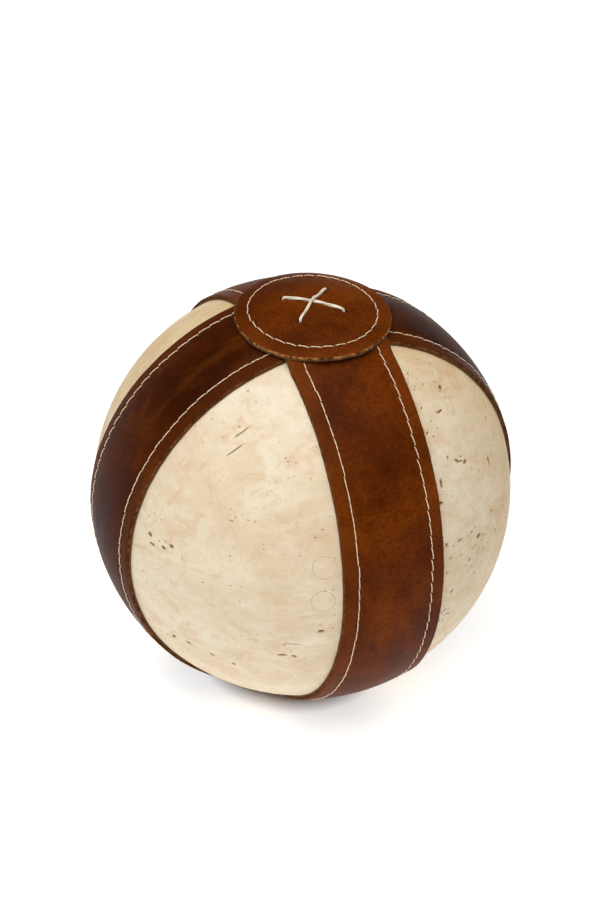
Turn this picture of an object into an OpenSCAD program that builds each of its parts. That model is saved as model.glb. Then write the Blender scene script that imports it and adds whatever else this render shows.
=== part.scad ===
// Stone medicine ball in a stitched and laced leather harness.
// Two crossing straps wrap the ball, a laced disc covers the crossing at the top
// and a plain disc covers the one at the base.
// Millimetres.  Origin: centre of the base disc's lower face.  +Z: up through both poles.

/* [Stone ball] */
// Diameter of the stone ball
stone_d = 200; // [150:5:260]
// How far inside the base disc's stitching the flat ground under the ball ends
flat_inset = 6.2; // [6:0.2:12]
// Rim of the sunk pocket round the lace holes, which takes the lace's underside
pocket_rim = 5; // [4:0.5:8]

/* [Straps] */
// Width of both straps
strap_w = 51; // [40:1:64]
// Thickness of the face leather
face_t = 1.1; // [0.8:0.1:2]
// Thickness of the lining leather
lining_t = 0.7; // [0.5:0.1:1.4]
// Glue line under each layer
bond = 0.1; // [0.05:0.05:0.3]
// How far from square the two straps cross, in degrees
strap_skew = 2.8; // [0:0.1:8]
// Length in which the over strap climbs over the under strap's edge
climb = 6; // [4:0.5:12]
// Room between the under strap's edge and the foot of that climb
climb_clear = 0.5; // [0.3:0.1:2]
// Gap between the butted ends of each strap, under the base disc
end_gap = 0.6; // [0.3:0.1:2]

/* [Discs] */
// Diameter of the top disc and of the base disc
disc_d = 73; // [64:1:90]

/* [Stitching] */
// Thickness of the thread
thread_d = 0.6; // [0.5:0.1:1]
// Length from one stitch to the next
stitch_pitch = 6; // [4:0.2:9]
// Part of that length that lies inside the leather
stitch_gap = 0.6; // [0.5:0.1:2]
// Distance from a strap's edge to its stitching
strap_margin = 6.8; // [4:0.2:9]
// Distance from a disc's rim to its stitching
disc_margin = 6.4; // [4:0.2:8]

/* [Lacing] */
// Thickness of the lace
lace_d = 1.9; // [1.5:0.1:2.3]
// Clearance round the lace in its holes
lace_room = 0.35; // [0.3:0.05:0.6]
// Distance between two opposite lace holes
lace_span = 30; // [26:1:34]
// Angle between each arm of the lace and the X axis, in degrees
lace_angle = 41; // [36:1:50]

/* [Hidden] */
clear = 0.2;
knot_ratio = 1.55;
lace_lap = 0.15;
lace_fit = 0.04;

stone_r = stone_d / 2;
far = 2 * stone_d;

// Heights above the stone: a strap is one ply, the crossing two, a disc on it three
lining_in = bond;
lining_out = lining_in + lining_t;
face_in = lining_out + bond;
face_out = face_in + face_t;
ply = face_out;

disc_r = disc_d / 2;
stitch_r = disc_r - disc_margin;
flat_r = stitch_r - flat_inset;
flat_h = sqrt(pow(stone_r, 2) - pow(flat_r, 2));
centre_z = flat_h + 3 * ply;

row_x = strap_w / 2 - strap_margin;
level_half = strap_w / 2 / cos(strap_skew) + strap_w / 2 * tan(strap_skew) + climb_clear;
climb_end = level_half + climb;

strap_thread_r = stone_r + ply + clear + thread_d / 2;
disc_thread_r = stone_r + 3 * ply + clear + thread_d / 2;
strap_row_r = sqrt(pow(strap_thread_r, 2) - pow(row_x, 2));
disc_row_z = sqrt(pow(disc_thread_r, 2) - pow(stitch_r, 2));
stitch_len = stitch_pitch - stitch_gap;

lace_r = lace_span / 2;
lace_x = lace_r * cos(lace_angle);
lace_y = lace_r * sin(lace_angle);
lace_hole_d = lace_d + 2 * lace_room;
knot_d = lace_d * knot_ratio;
bend_r = lace_d / 2 + 0.5;
bend_in = lace_r - bend_r;
bend_top = stone_r + 3 * ply + clear + lace_d / 2 - bend_r;
bend_z = sqrt(pow(bend_top, 2) - pow(bend_in, 2));
low_rise = bend_top - bend_z;
high_rise = low_rise + lace_d + clear;
pocket_r = lace_r + pocket_rim;
pocket_z = sqrt(pow(stone_r, 2) - pow(lace_r, 2)) - lace_d / 2 - knot_d / 2 - 2 * clear;
lace_low_z = pocket_z + clear + knot_d / 2;

stone_colour = [0.90, 0.84, 0.72];
face_colour = [0.36, 0.18, 0.07];
lining_colour = [0.58, 0.40, 0.24];
thread_colour = [0.90, 0.84, 0.72];

// ---- shared shapes, all about the centre of the ball

// The ball with its flat, grown by k on every side
module grown_ball(k) {
  intersection() {
    sphere(r = stone_r + k, $fn = 180);
    translate([0, 0, far / 2 - flat_h - k]) cube(far, center = true);
  }
}

// Leather that lies between the heights k_in and k_out above the stone
module skin(k_in, k_out) {
  difference() {
    grown_ball(k_out);
    grown_ball(k_in);
  }
}

// Four holes through the top crossing and the disc on it
module lace_holes() {
  for (x = [-lace_x, lace_x], y = [-lace_y, lace_y])
    translate([x, y, 0]) cylinder(h = stone_r + 5 * ply, d = lace_hole_d, $fn = 32);
}

// Cut through a strap's ends where they meet under the base
module end_cut() {
  translate([0, 0, -stone_r])
    cube([2 * strap_w, end_gap, stone_r], center = true);
}

// ---- straps

// Shift and radius of the sphere that comes down one ply between level_half and
// climb_end along the over strap, to the height k
function climb_shift(k) = ply * (2 * (stone_r + k) + ply) / (2 * climb);
function climb_radius(k) =
  sqrt(pow(stone_r + k, 2) - pow(climb_end, 2) + pow(climb_end + climb_shift(k), 2));

// The ball grown by k, and by one ply more where the over strap crosses the under strap
module crossed_ball(k) {
  union() {
    grown_ball(k);
    intersection() {
      grown_ball(k + ply);
      translate([0, -climb_shift(k), 0]) sphere(r = climb_radius(k), $fn = 180);
      translate([0, climb_shift(k), 0]) sphere(r = climb_radius(k), $fn = 180);
    }
  }
}

module over_strap(k_in, k_out) {
  difference() {
    intersection() {
      crossed_ball(k_out);
      cube([strap_w, far, far], center = true);
    }
    crossed_ball(k_in);
    end_cut();
    lace_holes();
  }
}

module under_strap(k_in, k_out) {
  difference() {
    rotate([0, 0, 90 - strap_skew])
      difference() {
        intersection() {
          skin(k_in, k_out);
          cube([strap_w, far, far], center = true);
        }
        end_cut();
      }
    lace_holes();
  }
}

// ---- discs

module top_disc(k_in, k_out) {
  difference() {
    intersection() {
      skin(k_in + 2 * ply, k_out + 2 * ply);
      cylinder(h = far, r = disc_r, $fn = 128);
    }
    lace_holes();
  }
}

module base_disc(k_in, k_out) {
  intersection() {
    skin(k_in + 2 * ply, k_out + 2 * ply);
    translate([0, 0, -far]) cylinder(h = far, r = disc_r, $fn = 128);
  }
}

// ---- stitching

module stitch() {
  rotate([90, 0, 0]) cylinder(h = stitch_len, d = thread_d, center = true, $fn = 32);
}

// A row along each half of a strap, from one crossing to the other
module strap_row(offset_x, start) {
  first = asin(start / strap_row_r);
  count = floor((180 - 2 * first) / 360 * 2 * PI * strap_row_r / stitch_pitch);
  step = (180 - 2 * first) / count;
  for (half = [-1, 1], i = [0 : count - 1])
    rotate([half * (first + (i + 0.5) * step), 0, 0])
      translate([offset_x, 0, strap_row_r])
        stitch();
}

module disc_row(up) {
  count = round(2 * PI * stitch_r / stitch_pitch);
  for (i = [0 : count - 1])
    rotate([0, 0, 360 / count * i])
      translate([stitch_r, 0, up * disc_row_z])
        stitch();
}

// ---- lace

// Part of a ring in the XZ plane, between two angles from +X towards +Z
module lace_arc(r, d, from, to) {
  rotate([90, 0, 0])
    rotate([0, 0, from])
      rotate_extrude(angle = to - from, $fn = 96)
        translate([r, 0]) circle(d = d, $fn = 32);
}

module lace_bend(from, to) {
  lace_arc(bend_r, lace_d, from, to);
}

// A straight length of lace, its ends let into the bends at both ends of it
module lace_run(length) {
  translate([0, 0, -lace_lap])
    cylinder(h = length + 2 * lace_lap, d = lace_d - lace_fit, $fn = 32);
}

// An arm across the disc, its two top bends and the two legs down the holes
module lace_arm(rise) {
  arc_in = (pow(bend_in, 2) + pow(rise, 2)) / (2 * rise);
  lean = asin(bend_in / arc_in);
  reach = lean + lace_lap / arc_in * 180 / PI;
  translate([0, 0, bend_z + rise - arc_in])
    lace_arc(arc_in + bend_r, lace_d - lace_fit, 90 - reach, 90 + reach);
  for (turn = [0, 180])
    rotate([0, 0, turn]) {
      translate([bend_in, 0, bend_z]) lace_bend(0, 90 - lean);
      translate([lace_r, 0, lace_low_z + bend_r]) lace_run(bend_z - lace_low_z - bend_r);
    }
}

// In the pocket, from one hole to the next across the under strap
module lace_under() {
  run = 2 * (lace_y - bend_r);
  translate([lace_x, 0, lace_low_z])
    rotate([0, 0, 90]) {
      translate([-run / 2, 0, bend_r]) lace_bend(180, 270);
      translate([-run / 2, 0, 0]) rotate([0, 90, 0]) lace_run(run);
      translate([run / 2, 0, bend_r]) lace_bend(270, 360);
    }
}

// The lace's two ends, tied to one another in the pocket
module knot() {
  rotate([90, 0, 0]) cylinder(h = knot_ratio * knot_d, d = knot_d, center = true, $fn = 32);
}

// ---- the nodes

module stone_ball() {
  color(stone_colour)
    translate([0, 0, centre_z])
      difference() {
        grown_ball(0);
        translate([0, 0, pocket_z]) cylinder(h = stone_r, r = pocket_r, $fn = 96);
      }
}

module under_strap_lining() {
  color(lining_colour) translate([0, 0, centre_z]) under_strap(lining_in, lining_out);
}

module under_strap_face() {
  color(face_colour) translate([0, 0, centre_z]) under_strap(face_in, face_out);
}

module over_strap_lining() {
  color(lining_colour) translate([0, 0, centre_z]) over_strap(lining_in, lining_out);
}

module over_strap_face() {
  color(face_colour) translate([0, 0, centre_z]) over_strap(face_in, face_out);
}

module top_disc_lining() {
  color(lining_colour) translate([0, 0, centre_z]) top_disc(lining_in, lining_out);
}

module top_disc_face() {
  color(face_colour) translate([0, 0, centre_z]) top_disc(face_in, face_out);
}

module base_disc_lining() {
  color(lining_colour) translate([0, 0, centre_z]) base_disc(lining_in, lining_out);
}

module base_disc_face() {
  color(face_colour) translate([0, 0, centre_z]) base_disc(face_in, face_out);
}

module under_strap_thread(offset_x) {
  color(thread_colour)
    translate([0, 0, centre_z])
      rotate([0, 0, 90 - strap_skew])
        strap_row(offset_x, level_half);
}

module over_strap_thread(offset_x) {
  color(thread_colour)
    translate([0, 0, centre_z])
      strap_row(offset_x, climb_end);
}

module under_strap_thread_left() {
  under_strap_thread(-row_x);
}

module under_strap_thread_right() {
  under_strap_thread(row_x);
}

module over_strap_thread_left() {
  over_strap_thread(-row_x);
}

module over_strap_thread_right() {
  over_strap_thread(row_x);
}

module top_disc_thread() {
  color(thread_colour) translate([0, 0, centre_z]) disc_row(1);
}

module base_disc_thread() {
  color(thread_colour) translate([0, 0, centre_z]) disc_row(-1);
}

module disc_lace() {
  color(thread_colour)
    translate([0, 0, centre_z]) {
      rotate([0, 0, lace_angle]) lace_arm(high_rise);
      rotate([0, 0, -lace_angle]) lace_arm(low_rise);
      for (turn = [0, 180]) rotate([0, 0, turn]) lace_under();
      translate([lace_x, 0, lace_low_z]) knot();
    }
}

stone_ball();
under_strap_lining();
under_strap_face();
over_strap_lining();
over_strap_face();
top_disc_lining();
top_disc_face();
base_disc_lining();
base_disc_face();
under_strap_thread_left();
under_strap_thread_right();
over_strap_thread_left();
over_strap_thread_right();
top_disc_thread();
base_disc_thread();
disc_lace();
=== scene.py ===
"""Stone medicine ball in a stitched and laced leather harness: the visual model.

Metres, in the frame of the CAD row: origin under the ball, +Z up through the poles.
"""
from math import asin, cos, degrees, floor, pi, radians, sin, sqrt, tan

import bmesh
import bpy
import numpy as np
from mathutils import Matrix, Vector


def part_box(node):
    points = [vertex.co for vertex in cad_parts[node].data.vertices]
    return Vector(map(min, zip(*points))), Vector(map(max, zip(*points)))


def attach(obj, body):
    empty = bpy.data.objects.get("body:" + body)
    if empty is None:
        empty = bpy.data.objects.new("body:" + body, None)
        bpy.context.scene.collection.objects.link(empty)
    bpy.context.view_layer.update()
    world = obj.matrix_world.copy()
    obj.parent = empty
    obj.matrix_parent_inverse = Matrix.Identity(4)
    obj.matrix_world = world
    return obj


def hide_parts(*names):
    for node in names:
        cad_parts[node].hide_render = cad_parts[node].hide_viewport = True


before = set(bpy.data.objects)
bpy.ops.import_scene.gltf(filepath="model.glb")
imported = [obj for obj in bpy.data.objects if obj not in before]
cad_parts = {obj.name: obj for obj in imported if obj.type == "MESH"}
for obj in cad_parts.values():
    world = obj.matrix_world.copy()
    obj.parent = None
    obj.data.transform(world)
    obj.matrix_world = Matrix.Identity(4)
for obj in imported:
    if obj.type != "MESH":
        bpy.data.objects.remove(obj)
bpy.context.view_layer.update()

MM = 0.001

# ---- sizes, from the frame

stone_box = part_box("stone_ball")
over_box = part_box("over_strap_face")
lining_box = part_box("over_strap_lining")
row_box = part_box("over_strap_thread_right")
disc_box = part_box("top_disc_face")
ring_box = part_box("top_disc_thread")
lace_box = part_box("disc_lace")

STONE_R = (stone_box[1][0] - stone_box[0][0]) / 2
PLY = over_box[1][1] - STONE_R
LINING_OUT = lining_box[1][1] - STONE_R
CENTRE_Z = over_box[1][2] - STONE_R - 2 * PLY
FLAT_H = CENTRE_Z - 3 * PLY
STRAP_HALF = over_box[1][0]
THREAD_D = row_box[1][0] - row_box[0][0]
ROW_X = (row_box[0][0] + row_box[1][0]) / 2
DISC_R = disc_box[1][0]
RING_R = (ring_box[1][0] - ring_box[0][0] - THREAD_D) / 2

BOND = 0.1 * MM                    # glue line under each layer
CLEAR = 0.2 * MM                   # from the leather to the thread or the lace
SKEW = radians(2.8)                # how far from square the straps cross
CLIMB = 6 * MM                     # the over strap's climb beside the under strap
CLIMB_CLEAR = 0.5 * MM             # from the under strap's edge to the foot of that climb
LEVEL_HALF = STRAP_HALF / cos(SKEW) + STRAP_HALF * tan(SKEW) + CLIMB_CLEAR
STITCH = 6 * MM                    # from one stitch to the next
LACE_D = 1.9 * MM
LACE_ANGLE = radians(41)           # each arm of the lace from the X axis
LACE_R = (lace_box[1][1] - LACE_D / 2) / sin(LACE_ANGLE)
HOLE_R = 1.25 * MM
POCKET_RIM = 5 * MM                # the stone's pocket, past the middles of the lace holes
POCKET_DROP = 2.83 * MM            # its floor, below the stone's surface at the holes

rng = np.random.default_rng(20)


# ---- small helpers for geometry

def smoothstep(low, high, x):
    t = np.clip((x - low) / (high - low), 0, 1)
    return t * t * (3 - 2 * t)


def unit(v):
    return v / np.linalg.norm(v, axis=-1)[..., None]


def wave(x, period, count=5, seed=0):
    """Smooth noise along x, mostly from -1 to 1, whose longest wave is period."""
    r = np.random.default_rng(seed)
    shares = [0.75 ** i for i in range(count)]
    total = np.zeros_like(x, dtype=float)
    for i, share in enumerate(shares):
        total += share * np.sin(2 * pi * x * (i + 1) ** 1.3 / period + r.uniform(0, 2 * pi))
    return total / sum(shares) * 1.4


def make_mesh(name, verts, faces, material, **fields):
    """An object from arrays; fields are named point attributes, one or three numbers each."""
    mesh = bpy.data.meshes.new(name)
    mesh.from_pydata(np.asarray(verts, dtype=float).tolist(), [], faces)
    for key, values in fields.items():
        values = np.asarray(values, dtype=np.float32)
        kind = "FLOAT" if values.ndim == 1 else "FLOAT_VECTOR"
        layer = mesh.attributes.new(key, kind, "POINT")
        layer.data.foreach_set("value" if values.ndim == 1 else "vector", values.ravel())
    mesh.polygons.foreach_set("use_smooth", [True] * len(mesh.polygons))
    mesh.validate()
    mesh.update()
    mesh.materials.append(material)
    obj = bpy.data.objects.new(name, mesh)
    bpy.context.scene.collection.objects.link(obj)
    return obj


def tube_faces(rows, cols, base=0):
    """Quads between rows of vertices, each row closed on itself, and a cap at either end."""
    faces = []
    for i in range(rows - 1):
        for j in range(cols):
            a = base + i * cols + j
            b = base + i * cols + (j + 1) % cols
            faces.append((a, b, b + cols, a + cols))
    faces.append(tuple(base + j for j in range(cols))[::-1])
    faces.append(tuple(base + (rows - 1) * cols + j for j in range(cols)))
    return faces


def turned(points, angle):
    """Points turned about the ball's axis, from the ball's centre into the row frame."""
    c, s = cos(angle), sin(angle)
    x, y, z = points[..., 0], points[..., 1], points[..., 2]
    return np.stack([c * x - s * y, s * x + c * y, z + CENTRE_Z], axis=-1)


def hoop_point(x, theta, k):
    """A point of a strap: x across, theta round the hoop from the top, k above the stone."""
    r = np.sqrt((STONE_R + k) ** 2 - x ** 2)
    z = np.maximum(r * np.cos(theta), -(FLAT_H + k))
    return np.stack([x + 0 * z, -r * np.sin(theta), z], axis=-1)


def cap_point(r, angle, k, up):
    """A point of a disc: r from its middle, k above the stone."""
    z = np.sqrt((STONE_R + k) ** 2 - r ** 2)
    if up < 0:
        z = np.minimum(z, FLAT_H + k)
    return np.stack([r * np.cos(angle), r * np.sin(angle), up * z], axis=-1)


def crossing_lift(theta):
    """How far the over strap stands off the stone, to pass over the under strap."""
    y = np.abs(STONE_R * np.sin(theta))
    return PLY * (1 - smoothstep(LEVEL_HALF, LEVEL_HALF + CLIMB, y))


def finish(obj, slot, *nodes):
    """Sets what obj rides on and the CAD nodes that it replaces; slot is not used."""
    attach(obj, "root")
    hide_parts(*nodes)


# ---- material helpers

class Shader:
    """One material's nodes, in short calls."""

    def __init__(self, name):
        self.material = bpy.data.materials.new(name)
        self.material.use_nodes = True
        self.tree = self.material.node_tree
        self.tree.nodes.clear()

    def node(self, kind, inputs=None, **settings):
        made = self.tree.nodes.new("ShaderNode" + kind)
        for key, value in settings.items():
            setattr(made, key, value)
        for key, value in (inputs or {}).items():
            if isinstance(value, bpy.types.NodeSocket):
                self.tree.links.new(value, made.inputs[key])
            else:
                made.inputs[key].default_value = value
        return made

    def position(self):
        return self.node("TexCoord").outputs["Object"]

    def field(self, name, output="Fac"):
        return self.node("Attribute", attribute_name=name).outputs[output]

    def stretched(self, vector, scale):
        return self.node("Mapping", {"Vector": vector, "Scale": scale}).outputs["Vector"]

    def noise(self, vector, scale, detail=4, roughness=0.55, distortion=0.0):
        return self.node("TexNoise", {
            "Vector": vector, "Scale": scale, "Detail": detail,
            "Roughness": roughness, "Distortion": distortion,
        }).outputs["Fac"]

    def cells(self, vector, scale):
        return self.node("TexVoronoi", {"Vector": vector, "Scale": scale}).outputs["Distance"]

    def spread(self, value, low, high, to_low=0.0, to_high=1.0):
        """value mapped from low..high to to_low..to_high, held at the ends."""
        return self.node("MapRange", {
            "Value": value, "From Min": low, "From Max": high,
            "To Min": to_low, "To Max": to_high,
        }).outputs["Result"]

    def maths(self, operation, a, b):
        return self.node("Math", {0: a, 1: b}, operation=operation).outputs[0]

    def mix(self, factor, a, b, blend="MIX"):
        inputs = {0: factor, 6: a, 7: b}
        return self.node("Mix", inputs, data_type="RGBA", blend_type=blend).outputs[2]

    def bump(self, height, distance, strength, normal=None):
        inputs = {"Height": height, "Distance": distance, "Strength": strength}
        if normal is not None:
            inputs["Normal"] = normal
        return self.node("Bump", inputs).outputs["Normal"]

    def principled(self, **inputs):
        named = {key.replace("_", " "): value for key, value in inputs.items()}
        shader = self.node("BsdfPrincipled", named)
        out = self.node("OutputMaterial")
        self.tree.links.new(shader.outputs["BSDF"], out.inputs["Surface"])
        return self.material


def rgb(red, green, blue):
    """A screen colour, 0 to 255, as a shader colour."""
    def linear(c):
        c /= 255
        return c / 12.92 if c <= 0.04045 else ((c + 0.055) / 1.055) ** 2.4
    return (linear(red), linear(green), linear(blue), 1.0)


# ---- materials

UNSHADED_SIDE = (-0.46, -0.87, 0.17)     # painted warm shade: the stone is painted darker and yellower away from this side, which faces the camera


def stone_material():
    """Honed travertine; the field pit is how deep a point lies in a pit."""
    s = Shader("travertine")
    place = s.position()
    bedding = s.stretched(place, (1.0, 1.0, 1.9))
    cloud = s.noise(bedding, 17, detail=7, roughness=0.68, distortion=0.9)
    flecks = s.stretched(place, (1.0, 1.3, 1.5))
    blotch = s.noise(flecks, 62, detail=6, roughness=0.7, distortion=1.2)
    veil = s.noise(s.stretched(bedding, (0.8, 1.2, 1.0)), 38, detail=6, roughness=0.66)
    grain = s.noise(place, 620, detail=3)
    colour = s.mix(s.spread(cloud, 0.36, 0.64), rgb(214, 194, 162), rgb(228, 215, 190))
    colour = s.mix(s.spread(blotch, 0.5, 0.66, 0, 0.75), colour, rgb(212, 180, 144))
    colour = s.mix(s.spread(veil, 0.5, 0.72, 0, 0.7), colour, rgb(232, 222, 204))
    colour = s.mix(s.spread(grain, 0.4, 0.7, 0, 0.16), colour, rgb(196, 170, 132))
    # Painted warm shade: the colour is darkened and yellowed where the stone turns away from the
    # camera's side.
    toward_unshaded = s.node("VectorMath", {0: place, 1: UNSHADED_SIDE}, operation="DOT_PRODUCT")
    painted_warm_shade = s.spread(toward_unshaded.outputs["Value"], 0.2 * STONE_R, 0.75 * STONE_R, 0.85, 0)
    colour = s.mix(painted_warm_shade, colour, (1.0, 0.9, 0.7, 1), "MULTIPLY")
    pores = s.cells(s.stretched(place, (1.0, 1.0, 1.5)), 210)
    where = s.spread(s.noise(bedding, 34, detail=4), 0.47, 0.6)
    pore = s.maths("MULTIPLY", s.spread(pores, 0.05, 0.15, 1, 0), where)
    colour = s.mix(s.maths("MULTIPLY", pore, 0.7), colour, rgb(150, 116, 72))
    for azimuth, latitude in RING_MARKS:
        heart = around(azimuth, latitude)[0] * STONE_R + np.array([0, 0, CENTRE_Z])
        away = s.node("VectorMath", {0: place, 1: heart.tolist()}, operation="DISTANCE")
        off = s.maths("SUBTRACT", away.outputs["Value"], RING_MARK_R)
        off = s.node("Math", {0: off}, operation="ABSOLUTE").outputs[0]
        line = s.spread(off, 0.1 * MM, 0.35 * MM, 0.45, 0)
        line = s.maths("MULTIPLY", line, s.spread(veil, 0.4, 0.55))
        colour = s.mix(line, colour, rgb(150, 112, 78))
    pit_depth = s.field("pit")
    # Pits are coloured tan, and dark brown where they are deepest.
    colour = s.mix(s.spread(pit_depth, 0.1, 0.6, 0, 0.4), colour, rgb(196, 158, 106))
    colour = s.mix(s.spread(pit_depth, 0.6, 1.1, 0, 0.85), colour, rgb(100, 70, 36))
    rough = s.spread(grain, 0.3, 0.7, 0.46, 0.62)
    scratch = s.noise(s.stretched(place, (0.12, 1.0, 1.0)), 900, detail=2)
    normal = s.bump(grain, 0.05 * MM, 0.5)
    normal = s.bump(scratch, 0.03 * MM, 0.35, normal)
    normal = s.bump(s.maths("MULTIPLY", pore, -1.0), 0.5 * MM, 0.8, normal)
    return s.principled(Base_Color=colour, Roughness=rough, Normal=normal,
                        Specular_IOR_Level=0.25)


def leather_material(name, seed, deep, warm, raw):
    """Oiled pull-up leather.

    deep and warm are its darker and lighter browns, raw its cut edge.  The field flow is
    (along, across, depth) in metres, and edge is 1 on the cut edge."""
    s = Shader(name)
    shift = {"Vector": s.field("flow", "Vector"), "Location": (seed, seed * 0.7, 0)}
    flow = s.node("Mapping", shift).outputs["Vector"]
    cloud = s.noise(flow, 21, detail=5, roughness=0.55, distortion=0.5)
    drag = s.noise(s.stretched(flow, (0.5, 1.2, 1.0)), 70, detail=5, roughness=0.6)
    grain = s.cells(flow, 1300)
    crease = s.noise(s.stretched(flow, (1.0, 0.7, 1.0)), 700, detail=4, roughness=0.6)
    colour = s.mix(s.spread(cloud, 0.36, 0.66), deep, warm)
    colour = s.mix(s.spread(drag, 0.5, 0.74, 0, 0.3), colour, rgb(130, 66, 12))
    colour = s.mix(s.spread(drag, 0.3, 0.5, 0.28, 0), colour, rgb(54, 20, 2))
    colour = s.mix(s.spread(crease, 0.35, 0.6, 0.42, 0), colour, rgb(36, 12, 1))
    margin = s.field("margin")
    colour = s.mix(s.maths("MULTIPLY", margin, 0.15), colour, rgb(120, 60, 18))
    nick = s.spread(s.noise(flow, 380, detail=4), 0.35, 0.65)
    edge = s.field("edge")
    worn = s.spread(s.maths("ADD", edge, s.maths("MULTIPLY", nick, 0.12)), 0.6, 1.0, 0, 0.9)
    colour = s.mix(worn, colour, s.mix(s.spread(nick, 0.2, 0.8), rgb(70, 40, 18), raw))
    polish = s.spread(drag, 0.3, 0.75, 0.4, 0.54)
    rough = s.maths("ADD", polish, s.maths("MULTIPLY", edge, 0.3))
    normal = s.bump(cloud, 0.6 * MM, 0.3)
    normal = s.bump(crease, 0.14 * MM, 0.75, normal)
    normal = s.bump(s.spread(grain, 0.0, 0.5), 0.08 * MM, 0.8, normal)
    return s.principled(Base_Color=colour, Roughness=rough, Normal=normal,
                        Specular_IOR_Level=0.035)


def lining_material():
    s = Shader("lining leather")
    flow = s.field("flow", "Vector")
    nap = s.noise(flow, 900, detail=4, roughness=0.7)
    cloud = s.noise(flow, 60, detail=3)
    # Painted shade: the lining's browns are darkened, as it lies mostly in shadow under the face.
    colour = s.mix(s.spread(cloud, 0.3, 0.7), rgb(70, 44, 24), rgb(104, 70, 42))
    colour = s.mix(s.spread(nap, 0.3, 0.75, 0, 0.4), colour, rgb(146, 112, 78))
    return s.principled(Base_Color=colour, Roughness=0.85, Normal=s.bump(nap, 0.12 * MM, 0.8),
                        Specular_IOR_Level=0.1)


def thread_material(name, light, dark):
    """Waxed thread; the field flow is (along, round, 0) in metres."""
    s = Shader(name)
    flow = s.field("flow", "Vector")
    fibre = s.noise(s.stretched(flow, (0.25, 1.6, 1.0)), 2400, detail=3)
    cloud = s.noise(s.position(), 90, detail=3)
    colour = s.mix(s.spread(cloud, 0.3, 0.7), dark, light)
    colour = s.mix(s.spread(fibre, 0.3, 0.6, 0.35, 0), colour, rgb(170, 144, 112))
    # Painted shade: the thread darkens towards each end, where it goes down into its hole.
    end = s.field("end")
    colour = s.mix(s.spread(end, 0.35, 1.0, 0, 0.75), colour, rgb(120, 84, 54))
    return s.principled(Base_Color=colour, Roughness=0.55, Normal=s.bump(fibre, 0.06 * MM, 0.6),
                        Sheen_Weight=0.15)


FLOOR_PAINTED_GLOW = 0.64                   # the floor glows with painted light, though it is no lamp


def floor_material():
    """White paper with a painted glow, though it is no lamp; the glow fades out under the ball, a
    painted contact shadow, and round it.
    """
    s = Shader("studio floor")
    place = s.position()
    paper = s.noise(place, 300, detail=2)
    colour = s.mix(s.spread(paper, 0.3, 0.7), rgb(250, 250, 250), rgb(253, 253, 253))
    reach = s.node("VectorMath", {0: place}, operation="LENGTH").outputs["Value"]
    # Painted contact shadow: no glow within 35 mm of the ball's foot, full glow from 47 mm; less
    # glow round the ball, more far off.
    near = s.spread(reach, 35 * MM, 47 * MM, 0, FLOOR_PAINTED_GLOW)
    middle = s.spread(reach, 80 * MM, 200 * MM, 0, 0.36)
    far = s.spread(reach, 0.5, 2.0, 0, 0.7)
    painted_glow = s.maths("ADD", s.maths("SUBTRACT", near, middle), far)
    return s.principled(Base_Color=colour, Roughness=0.9, Specular_IOR_Level=0.1,
                        Emission_Color=(0.95, 0.98, 1, 1), Emission_Strength=painted_glow)


# ---- the stone

# How full of pits the stone is in the panels between the straps: middle azimuth and share.
PANELS = [(-135, 0.35), (-45, 2.4), (45, 1.0), (135, 0.7)]
PANEL_CLUSTERS = 20                 # clusters of pits in a panel whose share is 1
PIN_HOLE_PAIRS = 170                # pin holes anywhere on the stone
PIT_COUNT = 1.7                     # multiplies the number of pits in every cluster
PIT_SIZE = 0.6 * MM                 # multiplies the size of every pit
DEEPEST_PIT = 1.1 * MM
FULL_PIT = 0.8 * MM                 # depth from which the field pit is 1

# Larger holes: azimuth, latitude and slope in degrees, length and width in mm.
LARGE_HOLES = [
    (-110, 45, 60, 2.6, 2.2), (-110, -5, 10, 3.6, 1.8), (-120, -15, 5, 5.0, 1.4),
    (-45, 25, 80, 6.0, 2.4), (-70, 30, 80, 6.0, 1.8), (-45, 50, -10, 4.0, 2.4),
]
LARGE_HOLE_DEPTH = 1.3 * MM

# Narrow cracks: the azimuth and latitude of each end.
CRACKS = [((-145, 40), (-140, 45)), ((-145, 45), (-140, 50)), ((-120, -10), (-115, -10))]
CRACK_HALF = 0.34 * MM
CRACK_DEPTH = 0.9 * MM

RING_MARKS = [(-110, 15), (-110, 5)]  # faint rings scratched into the stone
RING_MARK_R = 5.5 * MM


def around(azimuth, latitude):
    """The direction at these angles on the ball, and the tangents to the east and north there."""
    a, b = radians(azimuth), radians(latitude)
    heart = np.array([cos(a) * cos(b), sin(a) * cos(b), sin(b)])
    east = np.array([-sin(a), cos(a), 0.0])
    return heart, east, np.cross(heart, east)


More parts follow.
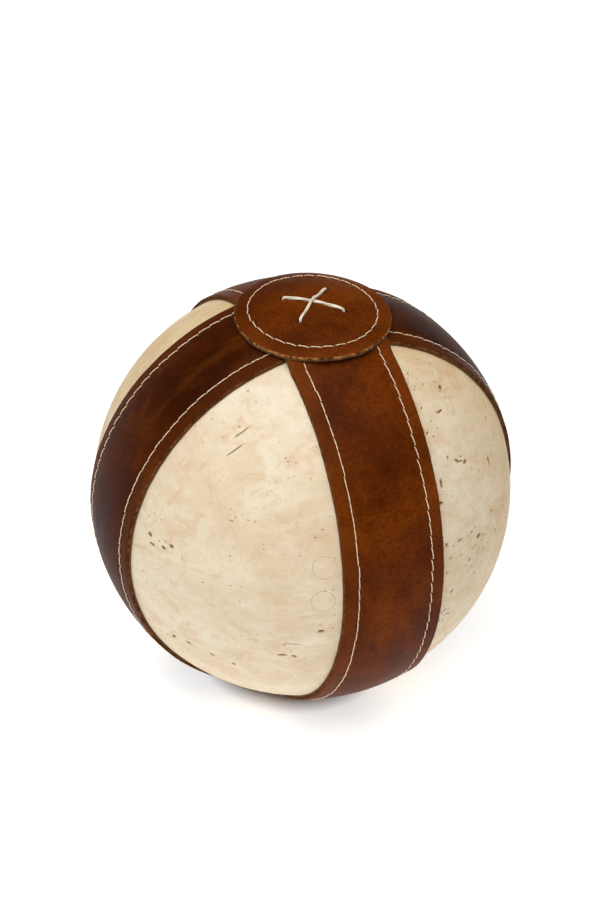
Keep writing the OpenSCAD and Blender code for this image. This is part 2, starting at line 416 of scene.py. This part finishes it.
def pit_list():
    """Pits as (direction, long axis, half length, half width, depth), lengths in metres."""
    pits = []

    def cluster(azimuth, latitude, reach, slope, count, size):
        """Pits strewn along a line; reach and slope of the line in degrees."""
        heart, east, north = around(azimuth, latitude)
        run = east * cos(radians(slope)) + north * sin(radians(slope))
        rise = np.cross(heart, run)
        reach = radians(reach)
        for _ in range(round(PIT_COUNT * count)):
            d = unit(heart + run * rng.normal(0, reach) + rise * rng.normal(0, 0.3 * reach))
            along = run + rise * rng.normal(0, 0.35)
            along = unit(along - d * float(along @ d))
            half = PIT_SIZE * size * rng.lognormal(0, 0.45)
            stretch = rng.choice([1.0, 1.3, 2.2], p=[0.6, 0.28, 0.12])
            width = half * rng.uniform(0.65, 0.95)
            depth = min(half * rng.uniform(0.6, 1.4), DEEPEST_PIT)
            pits.append((d, along, half * stretch, width, depth))

    for middle, share in PANELS:
        for _ in range(round(PANEL_CLUSTERS * share)):
            azimuth = middle + rng.uniform(-36, 36)
            latitude = degrees(asin(rng.uniform(-0.7, 0.9)))
            cluster(azimuth, latitude, rng.uniform(1.5, 6), rng.normal(0, 15), rng.integers(3, 12),
                    rng.uniform(0.5, 1.3))
    for azimuth, latitude, slope, length, width in LARGE_HOLES:
        heart, east, north = around(azimuth, latitude)
        along = east * cos(radians(slope)) + north * sin(radians(slope))
        pits.append((heart, along, length / 2 * MM, width / 2 * MM, LARGE_HOLE_DEPTH))
    for low, high in CRACKS:
        first, last = around(*low)[0], around(*high)[0]
        middle = unit(first + last)
        half = 0.55 * STONE_R * np.linalg.norm(last - first)
        pits.append((middle, unit(last - first), half, CRACK_HALF, CRACK_DEPTH))
    for _ in range(PIN_HOLE_PAIRS):
        azimuth = rng.uniform(-180, 180)
        latitude = degrees(asin(rng.uniform(-1, 1)))
        cluster(azimuth, latitude, 0.5, rng.uniform(0, 90), 1, rng.uniform(0.3, 0.5))
    return pits


def sphere_near_pits(pits):
    """A unit sphere of triangles, about 1 mm apart on the ball and finer round the pits."""
    bm = bmesh.new()
    bmesh.ops.create_icosphere(bm, subdivisions=8, radius=1.0)
    for spacing in (1.0 * MM, 0.5 * MM):
        dirs = np.array([v.co for v in bm.verts])
        close = np.zeros(len(dirs), dtype=bool)
        for heart, _, length, _, _ in pits:
            close |= dirs @ heart > cos((1.3 * length + spacing) / STONE_R)
        picked = [f for f in bm.faces if all(close[v.index] for v in f.verts)]
        edges = list({e for f in picked for e in f.edges})
        bmesh.ops.subdivide_edges(bm, edges=edges, cuts=1, use_grid_fill=True)
        bmesh.ops.triangulate(bm, faces=[f for f in bm.faces if len(f.verts) > 3])
        for v in bm.verts:
            v.co.normalize()
        bm.verts.index_update()
    dirs = np.array([v.co for v in bm.verts])
    faces = [tuple(v.index for v in f.verts) for f in bm.faces]
    bm.free()
    return dirs, faces


def make_stone():
    pits = pit_list()
    dirs, faces = sphere_near_pits(pits)
    sink = np.zeros(len(dirs))
    for heart, along, length, width, depth in pits:
        near = np.nonzero(dirs @ heart > cos(1.6 * length / STONE_R))[0]
        offset = (dirs[near] - heart) * STONE_R
        u = offset @ along / length
        v = offset @ np.cross(heart, along) / width
        turn = np.arctan2(v, u) + 9 * depth / MM
        ragged = 1 + 0.09 * np.sin(2 * turn) + 0.08 * np.sin(5 * turn)
        shape = 1 - smoothstep(0.5, 1.1, np.hypot(u, v) / ragged)
        sink[near] = np.maximum(sink[near], depth * shape)
    slow = wave(dirs[:, 0] * 1.3 + dirs[:, 2], 1.1, seed=3) * wave(dirs[:, 1], 0.9, seed=4)
    points = dirs * (STONE_R - sink + 0.03 * MM * slow)[:, None]

    pocket_r = LACE_R + POCKET_RIM
    pocket_z = sqrt(STONE_R ** 2 - LACE_R ** 2) - POCKET_DROP
    inside = (points[:, 2] > 0) & (np.hypot(points[:, 0], points[:, 1]) < pocket_r)
    points[inside, 2] = np.minimum(points[inside, 2], pocket_z)
    points[:, 2] = np.maximum(points[:, 2], -FLAT_H)
    points[:, 2] += CENTRE_Z
    pit = np.clip(sink / FULL_PIT, 0, 1)
    stone = make_mesh("stone", points, faces, stone_material(), pit=pit)
    finish(stone, "stone", "stone_ball")


# ---- leather

# Inner and outer height of each layer over the stone, and the radius of its outer corners.
FACE_PLY = (LINING_OUT + BOND, PLY, 0.45 * MM)
LINING_PLY = (BOND, LINING_OUT, 0.2 * MM)

EDGE_STEPS = 4                      # steps round a corner
EDGE_START = 0.45                   # the field edge where the corner starts
EDGE_BAND = 1.1 * MM                # over this width of the flat the field edge falls to 0
BACK_RIM = 2 * MM                   # from the rim of a layer's back to its next points
END_GAP = 0.3 * MM                  # from each end of a strap to the middle of the base
DISC_SIDES = 288
DISC_MIDDLE = 0.9 * MM              # the innermost ring of a disc's mesh

ROW_DIP = 1.0 * MM                  # half width of the hollow along a row of stitching
WIDE_DIP = 3.2 * MM                 # half width of the shallow pull round that hollow
HOLE_DIP = 0.22 * MM                # how much deeper the hollow is at the stitch holes


def edge_on_flat(x, flat_half):
    """The field edge at x on the flat of a layer, which ends at flat_half."""
    return np.clip(1 - (flat_half - abs(x)) / EDGE_BAND, 0, 1) * EDGE_START


def rounded_corner(half, k_out, corner):
    """Points from the flat down round a layer's outer corner: (x, k, edge)."""
    points = []
    for i in range(1, EDGE_STEPS + 1):
        a = pi / 2 * i / EDGE_STEPS
        edge = EDGE_START + (1 - EDGE_START) * i / EDGE_STEPS
        points.append((half - corner + corner * sin(a), k_out - corner + corner * cos(a), edge))
    return points


def strip_section(half, k_in, k_out, corner, across):
    """One loop round a strap's section: (x, k, edge) for each point."""
    flat_half = half - corner
    flat = np.linspace(-flat_half, flat_half, across)
    back = np.linspace(half - BACK_RIM, -(half - BACK_RIM), 12)
    right = rounded_corner(half, k_out, corner)
    left = [(-x, k, edge) for x, k, edge in reversed(right)]
    return np.array([(x, k_out, edge_on_flat(x, flat_half)) for x in flat] + right
                    + [(half, k_in, 1.0)] + [(x, k_in, 1.0) for x in back]
                    + [(-half, k_in, 1.0)] + left)


def row_layout(start):
    """First angle, step and count of a strap row's stitches on each half hoop."""
    r = sqrt((STONE_R + PLY + CLEAR + THREAD_D / 2) ** 2 - ROW_X ** 2)
    first = asin(start / r)
    count = floor((pi - 2 * first) * r / STITCH)
    return first, (pi - 2 * first) / count, count


def stitch_dip(off, turn, at_row, beside):
    """The hollow that a row of stitching pulls into the leather, at off from the row's line.

    turn is 0 at a stitch hole and grows by 2 pi from one to the next.  at_row is the depth
    between holes, and beside that of the wide pull round the row."""
    holes = 0.5 + 0.5 * np.cos(turn)
    row = np.exp(-(off / ROW_DIP) ** 2) * (at_row + HOLE_DIP * holes ** 3)
    return row + beside * np.exp(-(off / WIDE_DIP) ** 2)


def make_strap(name, angle, over, seed, material, ply, across, along):
    """A strap's face or lining as one closed sweep round the hoop."""
    k_in, k_out, corner = ply
    section = strip_section(STRAP_HALF, k_in, k_out, corner, across)
    gap = END_GAP / STONE_R
    theta = np.linspace(-pi + gap, pi - gap, along)[:, None]
    x0, k0, edge = section[:, 0][None, :], section[:, 1][None, :], section[:, 2][None, :]
    s = theta * STONE_R
    side = np.sign(x0)

    def each_side(right, left, extra):
        """Noise along the strap, with one period at its right side and another at its left."""
        noise = wave(s, right, seed=seed + extra), wave(s, left, seed=seed + extra + 1)
        return np.where(side > 0, *noise)

    sway = 0.0045 * each_side(0.16, 0.13, 0)
    ragged = 0.08 * MM * edge * each_side(0.011, 0.013, 2)
    x = x0 * (1 + sway) + side * ragged
    rim = smoothstep(ROW_X, STRAP_HALF, np.abs(x0))
    curl = 0.22 * MM * rim * (0.5 + 0.5 * each_side(0.09, 0.1, 4))
    k = k0 + (crossing_lift(theta) if over else 0) + curl
    top = smoothstep(k_in, k_out, k0)
    if ply is FACE_PLY:
        first, step, _ = row_layout(LEVEL_HALF + (CLIMB if over else 0))
        turn = 2 * pi * (np.abs(theta) - first) / step
        k = k - top * stitch_dip(np.abs(x0) - ROW_X, turn, 0.10 * MM, 0.14 * MM)
    k = k + top * 0.05 * MM * wave(s + 0.4 * x0, 0.05, seed=seed + 6)
    points = turned(hoop_point(x, theta, k), angle)
    faces = tube_faces(*points.shape[:2])
    flow = np.stack([s + 0 * x, x, k], axis=-1)
    edge = np.broadcast_to(edge, x.shape)
    margin = smoothstep(ROW_X - 1.5 * MM, ROW_X + 1.5 * MM, np.abs(x))
    return make_mesh(name, points.reshape(-1, 3), faces, material,
                     flow=flow.reshape(-1, 3), edge=edge.ravel(), margin=margin.ravel())


def make_disc(name, up, seed, material, ply, holes):
    """A disc's face or lining: a domed cap with a rounded, slightly uneven rim."""
    k_in, k_out, corner = ply
    flat_r = DISC_R - corner
    loop = [(r, k_out, edge_on_flat(r, flat_r)) for r in np.linspace(DISC_MIDDLE, flat_r, 62)]
    loop += rounded_corner(DISC_R, k_out, corner)
    loop.append((DISC_R, k_in, 1.0))
    loop += [(r, k_in, 1.0) for r in np.linspace(DISC_R - BACK_RIM, DISC_MIDDLE, 16)]
    loop = np.array(loop)
    angle = np.linspace(0, 2 * pi, DISC_SIDES, endpoint=False)[None, :]
    r0, k0, edge = loop[:, 0][:, None], loop[:, 1][:, None], loop[:, 2][:, None]
    turns = angle / (2 * pi)
    rim = smoothstep(RING_R, DISC_R, r0)
    uneven = 0.25 * MM * wave(turns, 0.5, seed=seed)
    ragged = 0.12 * MM * edge * wave(turns, 0.04, seed=seed + 1)
    r = r0 + rim * (uneven + ragged)
    k = k0 + 2 * PLY + rim * 0.35 * MM * wave(turns, 1.0, count=3, seed=seed + 2)
    if ply is FACE_PLY:
        turn = angle * round(2 * pi * RING_R / STITCH)
        top = smoothstep(k_in, k_out, k0)
        k = k - top * stitch_dip(r0 - RING_R, turn, 0.12 * MM, 0.16 * MM)
    points = turned(cap_point(r, angle, k, up), 0)
    faces = tube_faces(*points.shape[:2])
    if up > 0:
        faces = [f[::-1] for f in faces]
    flow = np.stack([r * np.cos(angle), r * np.sin(angle), k], axis=-1)
    margin = smoothstep(RING_R, DISC_R, r)
    disc = make_mesh(name, points.reshape(-1, 3), faces, material, flow=flow.reshape(-1, 3),
                     edge=np.broadcast_to(edge, r.shape).ravel(), margin=margin.ravel())
    if holes:
        punch(disc)
    return disc


def punch(obj):
    """Cuts the four lace holes."""
    verts, faces = [], []
    sides = 24
    low, high = CENTRE_Z + STONE_R - 6 * MM, CENTRE_Z + STONE_R + 12 * MM
    for i, a in enumerate((LACE_ANGLE, pi - LACE_ANGLE, pi + LACE_ANGLE, -LACE_ANGLE)):
        x, y = LACE_R * cos(a), LACE_R * sin(a)
        for z in (low, high):
            for j in range(sides):
                t = 2 * pi * j / sides
                verts.append((x + HOLE_R * cos(t), y + HOLE_R * sin(t), z))
        faces += tube_faces(2, sides, base=i * 2 * sides)
    cutter = make_mesh("cutter", verts, faces, obj.data.materials[0])
    modifier = obj.modifiers.new("holes", "BOOLEAN")
    modifier.operation = "DIFFERENCE"
    modifier.solver = "EXACT"
    modifier.object = cutter
    depsgraph = bpy.context.evaluated_depsgraph_get()
    cut = bpy.data.meshes.new_from_object(obj.evaluated_get(depsgraph))
    obj.modifiers.clear()
    obj.data = cut
    bpy.data.objects.remove(cutter)


# ---- thread and lace

def tubes(paths, ups, radius, sides, lobes, twist, flat=1.0, taper=None, end=None):
    """Closed tubes along paths of as many rings each: verts, faces, and the fields flow and end.

    paths is tubes x rings x 3, and ups says which way is up on each ring.  flat scales the
    section's height and taper each ring's size; end is the field's value on each ring."""
    count, rings, _ = paths.shape
    tangent = np.gradient(paths, axis=1)
    tangent /= np.linalg.norm(tangent, axis=2)[..., None]
    side = np.cross(tangent, ups)
    side /= np.linalg.norm(side, axis=2)[..., None]
    up = np.cross(side, tangent)
    step = np.linalg.norm(np.diff(paths, axis=1), axis=2)
    along = np.concatenate([np.zeros((count, 1)), np.cumsum(step, axis=1)], axis=1)
    phi = np.linspace(0, 2 * pi, sides, endpoint=False)[None, None, :]
    size = radius * (1 - 0.16 + 0.16 * np.cos(lobes * phi - twist * along[..., None]))
    if taper is not None:
        size = size * taper[None, :, None]
    ring = (side[:, :, None, :] * (size * np.cos(phi))[..., None]
            + up[:, :, None, :] * (flat * size * np.sin(phi))[..., None])
    verts = (paths[:, :, None, :] + ring).reshape(-1, 3)
    faces = []
    for i in range(count):
        faces += tube_faces(rings, sides, base=i * rings * sides)
    run = along[..., None] + 0 * phi
    flow = np.stack([run, radius * phi + 0 * run, 0 * run], axis=-1)
    end = np.zeros(rings) if end is None else end
    ends = np.broadcast_to(end[None, :, None], (count, rings, sides))
    return verts, faces, flow.reshape(-1, 3), ends.ravel()


THREAD_R = 0.28 * MM
THREAD_LAY = 2.2 * MM               # length of one turn of the thread's twist
LACE_LAY = 9 * MM
STITCH_ROOT = 0.5 * MM              # how far a stitch's ends go down from its line
HOLE_SHARE = 0.005                  # from a hole's middle to a stitch's end, in stitches
STRAP_ROW_SINK = 0.25 * MM          # a row's line below the face of the leather
DISC_ROW_SINK = 0.3 * MM
STITCH_RINGS = 19
STITCH_T = 0.5 - 0.5 * np.cos(np.linspace(0, pi, STITCH_RINGS))    # closer together at the ends
STITCH_RISE = 1 - np.abs(2 * STITCH_T - 1) ** 9                    # 0 at both ends, 1 between
STITCH_TAPER = 0.75 + 0.25 * STITCH_RISE
# Painted shade where a stitch goes into its hole: 1 at its ends, 0 once it has risen 0.7 of the
# way.
STITCH_HOLE_SHADE = 1 - smoothstep(0.0, 0.7, STITCH_RISE)


def stitch_tubes(starts, ends, normals):
    """One stitch from each start to each end, plump over the leather between them."""
    t = STITCH_T[None, :, None]
    path = starts[:, None, :] * (1 - t) + ends[:, None, :] * t
    jitter = rng.normal(0, 0.04 * MM, size=(len(starts), 1))
    height = (STITCH_ROOT + 0.75 * THREAD_R + jitter) * STITCH_RISE[None, :] - STITCH_ROOT
    height = height + 0.12 * MM * np.sin(pi * STITCH_T)[None, :]
    path = path + normals[:, None, :] * height[..., None]
    ups = np.broadcast_to(normals[:, None, :], path.shape)
    return tubes(path, ups, THREAD_R, sides=10, lobes=2, twist=2 * pi / THREAD_LAY, flat=0.95,
                 taper=STITCH_TAPER, end=STITCH_HOLE_SHADE)


def make_strap_row(name, angle, over, sign, slant, material, *nodes):
    first, step, count = row_layout(LEVEL_HALF + (CLIMB if over else 0))
    starts, ends = [], []
    for half in (-1, 1):
        # The over strap's rows start and end half a stitch further on, under the discs' rims.
        index = np.arange(-1, count + 1) if over else np.arange(count)
        a = half * (first + (index + np.where(index < 0, 0.5, HOLE_SHARE)) * step)
        b = half * (first + (index + np.where(index == count, 0.5, 1 - HOLE_SHARE)) * step)
        a = a + rng.normal(0, 0.0012, len(index))
        b = b + rng.normal(0, 0.0012, len(index))
        sway = 0.25 * MM * wave(index * step, 0.7, seed=count + 3 * half * sign + 9)
        for bag, theta, lean in ((starts, a, -slant), (ends, b, slant)):
            x = sign * ROW_X + sway + lean + rng.normal(0, 0.06 * MM, len(index))
            k = PLY - STRAP_ROW_SINK + (crossing_lift(theta) if over else 0)
            bag.append(hoop_point(x, theta, k))
    starts, ends = np.concatenate(starts), np.concatenate(ends)
    normals = unit((starts + ends) / 2)
    spin = np.array([[cos(angle), sin(angle), 0], [-sin(angle), cos(angle), 0], [0, 0, 1]])
    starts, ends = turned(starts, angle), turned(ends, angle)
    verts, faces, flow, end = stitch_tubes(starts, ends, normals @ spin)
    row = make_mesh(name, verts, faces, material, flow=flow, end=end)
    finish(row, "thread", *nodes)


def make_disc_row(name, up, slant, material, *nodes):
    count = round(2 * pi * RING_R / STITCH)
    step = 2 * pi / count
    index = np.arange(count)
    a = (index - 0.5 + HOLE_SHARE) * step + rng.normal(0, 0.008, count)
    b = (index + 0.5 - HOLE_SHARE) * step + rng.normal(0, 0.008, count)
    drift = 0.3 * MM * wave(index / count, 1.0, seed=31)
    k = 3 * PLY - DISC_ROW_SINK
    starts = cap_point(RING_R - slant + drift, a, k, up)
    ends = cap_point(RING_R + slant + drift, b, k, up)
    normals = unit((starts + ends) / 2)
    verts, faces, flow, end = stitch_tubes(turned(starts, 0), turned(ends, 0), normals)
    row = make_mesh(name, verts, faces, material, flow=flow, end=end)
    finish(row, "thread", *nodes)


def lace_arm_path(rise):
    """Height over the ball's middle: up one hole, along the leather and down the other."""
    top_r = STONE_R + 3 * PLY
    lift = 0.34 * LACE_D
    end = LACE_R - 0.5 * MM
    corner = 1.1 * MM
    bend_steps = 5
    foot = sqrt(top_r ** 2 - end ** 2) + lift - corner
    route = [(-end, foot - 3 * MM)]
    for i in range(bend_steps + 1):
        a = pi - pi / 2 * i / bend_steps
        route.append((-end + corner + corner * cos(a), foot + corner * sin(a)))
    descent = [(-u, z) for u, z in reversed(route)]
    for u in np.linspace(-end + 2 * corner, end - 2 * corner, 31):
        hump = rise * np.exp(-(u / (3.2 * MM)) ** 2)
        route.append((u, sqrt(top_r ** 2 - u ** 2) + lift + hump))
    route = np.array(route + descent)
    length = np.concatenate([[0], np.cumsum(np.hypot(*np.diff(route, axis=0).T))])
    at = np.linspace(0, length[-1], 90)
    return np.stack([np.interp(at, length, column) for column in route.T], axis=1)


def make_lace():
    verts, faces, flows = [], [], []
    material = thread_material("lace cord", rgb(240, 232, 212), rgb(224, 212, 188))
    for angle, rise in ((LACE_ANGLE, LACE_D * 0.85), (-LACE_ANGLE, 0.0)):
        uz = lace_arm_path(rise)
        bow = 0.5 * MM * np.sin(np.linspace(0, pi, len(uz)))
        path = np.stack([uz[:, 0], bow, uz[:, 1]], axis=1)
        path = turned(path, angle)[None]
        ups = np.broadcast_to(np.array([-sin(angle), cos(angle), 0.0]), path.shape)
        v, f, flow, _ = tubes(path, ups, LACE_D * 0.46, sides=20, lobes=3,
                              twist=2 * pi / LACE_LAY, flat=0.85)
        base = sum(len(part) for part in verts)
        verts.append(v)
        faces += [tuple(base + i for i in face) for face in f]
        flows.append(flow)
    verts = np.concatenate(verts)
    lace = make_mesh("lace", verts, faces, material, flow=np.concatenate(flows),
                     end=np.zeros(len(verts)))
    finish(lace, "lace", "disc_lace")


# ---- build the object

OVER, UNDER = 0.0, pi / 2 - SKEW
make_stone()

lining = lining_material()
DEEP, MID, WARM = rgb(50, 17, 1), rgb(76, 29, 1), rgb(114, 51, 4)
RAW_DARK, RAW_LIGHT = rgb(116, 76, 42), rgb(186, 130, 78)
for name, angle, over, seed, shades in (("under_strap", UNDER, False, 11, (DEEP, MID)),
                                        ("over_strap", OVER, True, 47, (MID, WARM))):
    leather = leather_material(name + " leather", seed, *shades, RAW_DARK)
    face = make_strap(name + "_face_leather", angle, over, seed, leather, FACE_PLY, 84, 760)
    finish(face, "leather", name + "_face")
    under = make_strap(name + "_lining_leather", angle, over, seed, lining, LINING_PLY, 24, 380)
    finish(under, "lining", name + "_lining")
for name, up, seed in (("top_disc", 1, 71), ("base_disc", -1, 83)):
    leather = leather_material(name + " leather", seed, MID, WARM, RAW_LIGHT)
    face = make_disc(name + "_face_leather", up, seed, leather, FACE_PLY, up > 0)
    finish(face, "leather", name + "_face")
    under = make_disc(name + "_lining_leather", up, seed, lining, LINING_PLY, up > 0)
    finish(under, "lining", name + "_lining")

thread = thread_material("waxed thread", rgb(244, 220, 188), rgb(226, 198, 162))
for name, angle, over in (("under_strap", UNDER, False), ("over_strap", OVER, True)):
    for side, sign, slant in (("left", -1, 0.05 * MM), ("right", 1, 0.32 * MM)):
        make_strap_row(name + "_stitches_" + side, angle, over, sign, slant, thread,
                       name + "_thread_" + side)
make_disc_row("top_disc_stitches", 1, 0.22 * MM, thread, "top_disc_thread")
make_disc_row("base_disc_stitches", -1, 0.22 * MM, thread, "base_disc_thread")
make_lace()


# ---- studio

BALL_MIDDLE = Vector((0, 0, CENTRE_Z))


def make_floor():
    corners = [(-6, -6, 0), (6, -6, 0), (6, 6, 0), (-6, 6, 0)]
    floor = make_mesh("floor", corners, [(0, 1, 2, 3)], floor_material())


def direction(azimuth, elevation):
    """The direction at an azimuth turned from the front towards +X, and an elevation."""
    return Vector((sin(azimuth) * cos(elevation), -cos(azimuth) * cos(elevation), sin(elevation)))


def area_light(name, azimuth, elevation, distance, size, power):
    """A soft square light aimed at the ball's middle."""
    data = bpy.data.lights.new(name, "AREA")
    data.size = size
    data.energy = power
    light = bpy.data.objects.new(name, data)
    away = direction(azimuth, elevation)
    light.location = BALL_MIDDLE + away * distance
    light.rotation_euler = away.to_track_quat("Z", "Y").to_euler()
    bpy.context.scene.collection.objects.link(light)


VIEW_AZIMUTH = radians(-27.3)
VIEW_ELEVATION = radians(35.75)
VIEW_ROLL = radians(3.48)
VIEW_DISTANCE = 16 * STONE_R
LENS_PER_HEIGHT = 3.696             # focal length over the height of the frame
AIM_UP = 17.8 * MM                  # where the view is aimed, from the ball's middle
AIM_RIGHT = -1.0 * MM


def make_camera():
    data = bpy.data.cameras.new("camera")
    data.sensor_fit = "VERTICAL"
    data.sensor_height = 36
    data.lens = LENS_PER_HEIGHT * data.sensor_height
    data.clip_start = 0.1
    data.clip_end = 50
    away = direction(VIEW_AZIMUTH, VIEW_ELEVATION)
    right = Vector((cos(VIEW_AZIMUTH), sin(VIEW_AZIMUTH), 0))
    up = away.cross(right)
    rolled_right = right * cos(VIEW_ROLL) + up * sin(VIEW_ROLL)
    rolled_up = away.cross(rolled_right)
    aim = BALL_MIDDLE + rolled_up * AIM_UP + rolled_right * AIM_RIGHT
    camera = bpy.data.objects.new("camera", data)
    turn = Matrix((rolled_right, rolled_up, away)).transposed()
    camera.matrix_world = Matrix.Translation(aim + away * VIEW_DISTANCE) @ turn.to_4x4()
    bpy.context.scene.collection.objects.link(camera)
    bpy.context.scene.camera = camera


def make_light():
    world = bpy.data.worlds.new("studio")
    world.use_nodes = True
    background = world.node_tree.nodes["Background"]
    background.inputs["Color"].default_value = (1.0, 0.87, 0.70, 1)
    background.inputs["Strength"].default_value = 0.15
    scene = bpy.context.scene
    scene.world = world
    scene.view_settings.view_transform = "Standard"
    scene.view_settings.look = "None"
    area_light("key", VIEW_AZIMUTH - radians(34), radians(54), distance=1.7, size=1.6, power=14)
    area_light("top", VIEW_AZIMUTH + radians(10), radians(80), distance=1.6, size=2.0, power=23)


make_floor()
make_camera()
make_light()
